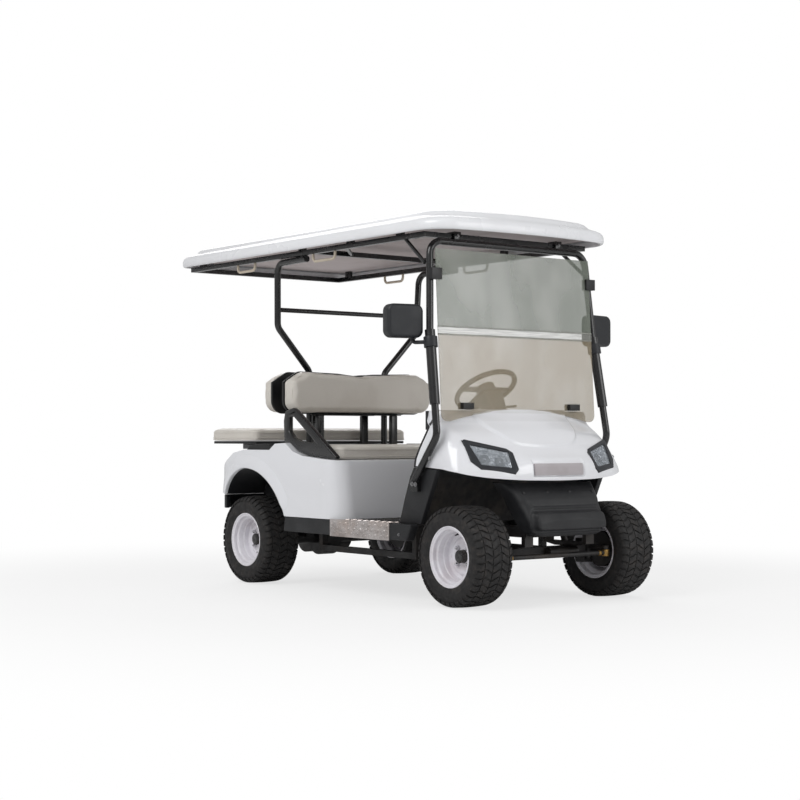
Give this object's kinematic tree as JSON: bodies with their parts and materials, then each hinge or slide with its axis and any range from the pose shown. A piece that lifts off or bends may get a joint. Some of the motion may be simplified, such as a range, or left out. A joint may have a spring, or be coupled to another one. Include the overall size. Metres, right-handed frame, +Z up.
{
  "type": "golf cart",
  "caption": "Electric golf cart with a roof, a clear windscreen, bench seats back to back, steered front wheels and a tipping seat over the batteries.",
  "frame": {"origin": "on the ground, below the middle of the overall box", "axes": "+X forward, +Y to the cart's left, +Z up"},
  "size_m": [2.595, 1.4066, 1.8259],
  "materials": {
    "tyre_rubber": "matt",
    "wheel_paint": "gloss",
    "hub_metal": "satin",
    "chassis_paint": "satin",
    "battery_case": "matt",
    "mat_rubber": "matt",
    "black_plastic": "matt",
    "steering_grip": "matt",
    "tread_aluminium": "satin",
    "body_white": "gloss",
    "roof_underside": "matt",
    "lamp_red": "gloss",
    "lamp_clear": "gloss",
    "clear_sheet": "gloss",
    "seat_vinyl": "satin",
    "frame_black": "gloss",
    "handle_beige": "satin"
  },
  "bodies": {
    "cart_body": {"backrest_front": "seat_vinyl", "backrest_rear": "seat_vinyl", "backrest_shells": "black_plastic", "battery_pack": "battery_case", "chassis_frame": "chassis_paint", "dashboard": "black_plastic", "floor_pan": "mat_rubber", "front_axle": "chassis_paint", "front_bumper": "black_plastic", "front_cowl": "body_white", "front_strut": "frame_black", "front_valances": "black_plastic", "grab_handles": "handle_beige", "headlamp_bezels": "black_plastic", "headlamp_lenses": "lamp_clear", "hip_restraints": "frame_black", "mirrors": "black_plastic", "pedals": "black_plastic", "rear_axle": "chassis_paint", "rear_body": "body_white", "rear_bumper": "black_plastic", "rear_struts": "frame_black", "rear_trays": "black_plastic", "roof_frame": "frame_black", "roof_lining": "roof_underside", "roof_panel": "body_white", "seat_cushion_rear": "seat_vinyl", "seat_hinges": "frame_black", "seat_pan_rear": "black_plastic", "seat_posts": "frame_black", "sills": "black_plastic", "springs_and_dampers": "chassis_paint", "steering_column": "black_plastic", "tail_lamps": "lamp_red", "tread_plates": "tread_aluminium", "wheel_liners": "black_plastic", "windshield_fittings": "black_plastic", "windshield_hinge": "clear_sheet", "windshield_lower": "clear_sheet", "windshield_upper": "clear_sheet"},
    "wheel_front_right": {"tyre_front_right": "tyre_rubber", "rim_front_right": "wheel_paint", "hub_front_right": "hub_metal"},
    "wheel_front_left": {"tyre_front_left": "tyre_rubber", "rim_front_left": "wheel_paint", "hub_front_left": "hub_metal"},
    "wheel_rear_right": {"tyre_rear_right": "tyre_rubber", "rim_rear_right": "wheel_paint", "hub_rear_right": "hub_metal"},
    "wheel_rear_left": {"tyre_rear_left": "tyre_rubber", "rim_rear_left": "wheel_paint", "hub_rear_left": "hub_metal"},
    "knuckle_right": {"knuckle_right": "chassis_paint"},
    "knuckle_left": {"knuckle_left": "chassis_paint"},
    "tie_rod": {"tie_rod": "chassis_paint"},
    "steering_wheel": {"steering_wheel": "steering_grip"},
    "seat_lid": {"seat_cushion_front": "seat_vinyl", "seat_pan_front": "black_plastic"}
  },
  "joints": [
    {"name": "steer_right", "type": "hinge", "parent": "cart_body", "child": "knuckle_right", "pos_m": [1.0525, -0.318, 0.2285], "axis": [0, 0, 1], "range_deg": [-30, 30]},
    {"name": "steer_left", "type": "hinge", "parent": "cart_body", "child": "knuckle_left", "pos_m": [1.0525, 0.318, 0.2285], "axis": [0, 0, 1], "range_deg": [-30, 30]},
    {"name": "tie_rod_swing", "type": "hinge", "parent": "knuckle_right", "child": "tie_rod", "pos_m": [1.1725, -0.318, 0.2195], "axis": [0, 0, 1], "range_deg": [-30, 30]},
    {"name": "steering_wheel_turn", "type": "hinge", "parent": "cart_body", "child": "steering_wheel", "pos_m": [0.3825, 0.25, 1.007], "axis": [-0.5592, 0, 0.829], "range_deg": [-360, 360]},
    {"name": "seat_lid_hinge", "type": "hinge", "parent": "cart_body", "child": "seat_lid", "pos_m": [-0.3695, 0, 0.71], "axis": [0, -1, 0], "range_deg": [0, 60]},
    {"name": "spin_front_right", "type": "hinge", "parent": "knuckle_right", "child": "wheel_front_right", "pos_m": [1.0525, -0.445, 0.2285], "axis": [0, 1, 0], "continuous": true},
    {"name": "spin_front_left", "type": "hinge", "parent": "knuckle_left", "child": "wheel_front_left", "pos_m": [1.0525, 0.445, 0.2285], "axis": [0, 1, 0], "continuous": true},
    {"name": "spin_rear_right", "type": "hinge", "parent": "cart_body", "child": "wheel_rear_right", "pos_m": [-0.5975, -0.478, 0.2285], "axis": [0, 1, 0], "continuous": true},
    {"name": "spin_rear_left", "type": "hinge", "parent": "cart_body", "child": "wheel_rear_left", "pos_m": [-0.5975, 0.478, 0.2285], "axis": [0, 1, 0], "continuous": true}
  ],
  "couplings": [
    {"joint": "steer_left", "follows": "steer_right", "ratio": 1},
    {"joint": "tie_rod_swing", "follows": "steer_right", "ratio": -1},
    {"joint": "steering_wheel_turn", "follows": "steer_right", "ratio": 12}
  ]
}
